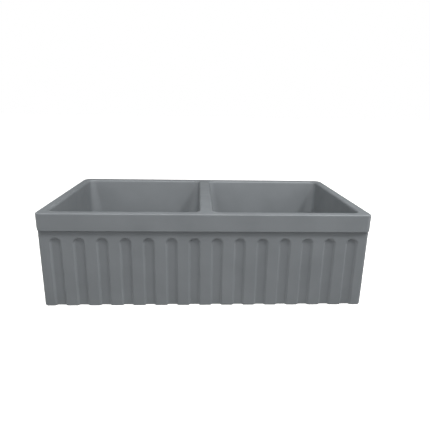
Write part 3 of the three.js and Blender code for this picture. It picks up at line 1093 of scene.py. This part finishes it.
def addBush(side, centre):
    s = stopper
    bore = s["stem"] + fit["slide"]
    path = softened([
        (bore, s["bushBottom"], 0.3),
        (s["bushFlange"], s["bushBottom"], 0.5),
        (s["bushFlange"], s["bushFlareTop"], 0.4),
        (s["bush"], s["bushFlareTop"], 0.2),
        (s["bush"], s["bushSeat"], 0.2),
        (s["bushFlange"], s["bushSeat"], 0.4),
        (s["bushFlange"], s["bushTop"], 0.9),
        (bore, s["bushTop"], 0.4),
    ])
    columns = s["bushColumns"]
    addTurned("basket_bush", side, centre, path, f"basket_{side}", nylon, columns)


def addStopper(side, centre):
    s, body = stopper, f"stopper_{side}"
    discBottom = s["knobTop"] - s["knobDisc"]
    knobBottom = discBottom - s["knobNeckHeight"]
    crown = s["knobTop"] - s["knobCrown"]
    dish = s["knobTop"] - s["knobDish"]
    near = s["spigot"] + fit["slide"]
    stem = softened([
        (0, s["stemBottom"], 0),
        (s["spigot"], s["stemBottom"], 0.5),
        (s["spigot"], s["plateTop"] + fit["seat"], 0.1),
        (s["stem"], s["plateTop"] + fit["seat"], 0.3),
        (s["stem"], knobBottom - fit["seat"], 0.3),
        (s["spigot"], knobBottom - fit["seat"], 0.1),
        (s["spigot"], crown - fit["seat"], 0.4),
        (0, crown - fit["seat"], 0),
    ], closed=False)
    columns = s["stemColumns"]
    addTurned("stopper_stem", side, centre, stem, body, brass, columns)
    knob = softened([
        (0, crown, 0),
        (near, crown, 0),
        (near, knobBottom, 0.3),
        (s["knobNeck"], knobBottom, 0.8),
        (s["knobNeck"], discBottom, 2),
        (s["knob"], discBottom, 1.4),
        (s["knob"], s["knobTop"], 1.6),
        (s["knob"] * s["dishEdge"], s["knobTop"], 1),
        (s["knob"] * s["dishFlat"], dish, 1.5),
        (0, dish, 0),
    ], closed=False)
    steel, columns = "stainless_steel", s["knobColumns"]
    addTurned("stopper_knob", side, centre, knob, body, polishedSteel, columns)
    plate = washerPath(near, s["plate"], s["plateBottom"], s["plateTop"], s["plateRound"])
    addTurned("stopper_plate", side, centre, plate, body, satinSteel)
    seal = washerPath(near, s["seal"], s["sealBottom"], s["sealTop"], s["sealRound"])
    addTurned("stopper_seal", side, centre, seal, body, rubber)

    def toothed(angle, radius, height):
        slot = smooth(s["slotFlank"] * cos(s["clipTeeth"] * angle) - s["slotStart"])
        nearBore = smooth((near + s["clipSlot"] - radius) / s["clipSlot"])
        return radius + s["clipSlot"] * slot * nearBore

    clip = washerPath(near, s["clip"], s["clipBottom"], s["clipTop"], s["clipRound"])
    columns = s["clipColumns"]
    addTurned("stem_clip", side, centre, clip, body, satinSteel, columns, toothed)


for side, sign in sides.items():
    drain = (sign * drainX, drainY, strainer["flangeTop"])
    addStrainerBody(side, drain)
    addSeals(side, drain)
    addLocknut(side, drain)
    addBasket(side, drain)
    addBush(side, drain)
    addStopper(side, drain)
    print("the", side, "strainer is made")

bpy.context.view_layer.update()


# A plain pale floor and soft light. The floor gives off most of its own light, so that it stays
# pale and shows only a faint shadow, and the sink is lit by the glows and lamps alone.
studio = {
    "floor": 30000,
    "floorFaces": 8,  # along each side
    "floorDrop": 0.1,  # keeps it clear of the sink's flat base
    "floorColour": "#f4f4f2",
    "floorGlow": 0.84,
    "floorRoughness": 0.9,
    "floorGloss": 0.2,
    "backdrop": 1,
    "glowFocus": 10,  # how quickly a glow fades beside its middle
    "lampSize": 500,
    "lampsAimAt": (0, 0, 150),
}
glows = {  # degrees to the right of the sink's front, and above level
    "ceiling": {"right": 0, "up": 60, "strength": 2.2},
    "leftWall": {"right": -72, "up": 0, "strength": 1.25},
    "groundLight": {"right": 0, "up": -80, "strength": 1.9},
    "backWall": {"right": 180, "up": 55, "strength": 0.35},
    "behind": {"right": 180, "up": -55, "strength": 4},
}
lamps = {
    "key": {"place": (1600, -1200, 2600), "watts": 46},
    "front": {"place": (-400, -2000, 1000), "watts": 9.3},
    "overhead": {"place": (0, -600, 1300), "watts": 5},
    "left": {"place": (-1200, -250, 700), "watts": 3.2},
    "right": {"place": (1200, -250, 700), "watts": 5},
    "lowRight": {"place": (3000, -1000, 300), "watts": 20},
}


def addFloor():
    bm = bmesh.new()
    faces, half = studio["floorFaces"], studio["floor"] / 2
    bmesh.ops.create_grid(bm, x_segments=faces, y_segments=faces, size=half * mm)
    bmesh.ops.translate(bm, verts=bm.verts, vec=(0, 0, -studio["floorDrop"] * mm))
    mesh = bpy.data.meshes.new("floor")
    bm.to_mesh(mesh)
    bm.free()
    floor = bpy.data.objects.new("floor", mesh)
    bpy.context.scene.collection.objects.link(floor)
    colour = linear(studio["floorColour"])
    settings = {
        "Base Color": colour,
        "Emission Color": colour,
        "Emission Strength": studio["floorGlow"],
        "Roughness": studio["floorRoughness"],
        "Specular IOR Level": studio["floorGloss"],
    }
    mesh.materials.append(newMaterial("matt white paint", settings))
    floor.visible_diffuse = False
    floor.visible_glossy = False
    floor.visible_shadow = False


# Adds up the glows over all directions; the camera itself sees a plain white backdrop.
def addGlows():
    world = bpy.data.worlds.new("studio")
    bpy.context.scene.world = world
    world.use_nodes = True
    tree = world.node_tree
    direction = addNode(tree, "ShaderNodeTexCoord").outputs["Generated"]
    focus = studio["glowFocus"]
    total = None
    for glow in glows.values():
        right, up = radians(glow["right"]), radians(glow["up"])
        middle = (cos(up) * sin(right), -cos(up) * cos(right), sin(up))
        settings = {"operation": "DOT_PRODUCT", 1: middle}
        near = addNode(tree, "ShaderNodeVectorMath", settings, {0: direction}).outputs["Value"]
        settings = {"operation": "MULTIPLY_ADD", 1: focus, 2: -focus}
        fade = addNode(tree, "ShaderNodeMath", settings, {0: near}).outputs[0]
        bright = addNode(tree, "ShaderNodeMath", {"operation": "EXPONENT"}, {0: fade}).outputs[0]
        settings = {"operation": "MULTIPLY_ADD", 1: glow["strength"], 2: 0}
        links = {0: bright, 2: total} if total else {0: bright}
        total = addNode(tree, "ShaderNodeMath", settings, links).outputs[0]
    seen = addNode(tree, "ShaderNodeLightPath").outputs["Is Camera Ray"]
    links = {"Factor": seen, "A": total}
    strength = addNode(tree, "ShaderNodeMix", {"B": studio["backdrop"]}, links).outputs[0]
    background = tree.nodes["Background"]
    background.inputs["Color"].default_value = (1, 1, 1, 1)
    tree.links.new(strength, background.inputs["Strength"])


def addLamps():
    for name, lamp in lamps.items():
        data = bpy.data.lights.new(name, "AREA")
        data.shape = "DISK"
        data.size = studio["lampSize"] * mm
        data.energy = lamp["watts"]
        light = bpy.data.objects.new(name, data)
        light.location = Vector(lamp["place"]) * mm
        aim = Vector(studio["lampsAimAt"]) * mm - light.location
        light.rotation_euler = aim.to_track_quat("-Z", "Y").to_euler()
        bpy.context.scene.collection.objects.link(light)


addFloor()
addGlows()
addLamps()
bpy.context.scene.view_settings.view_transform = "Standard"
print("the studio is lit")
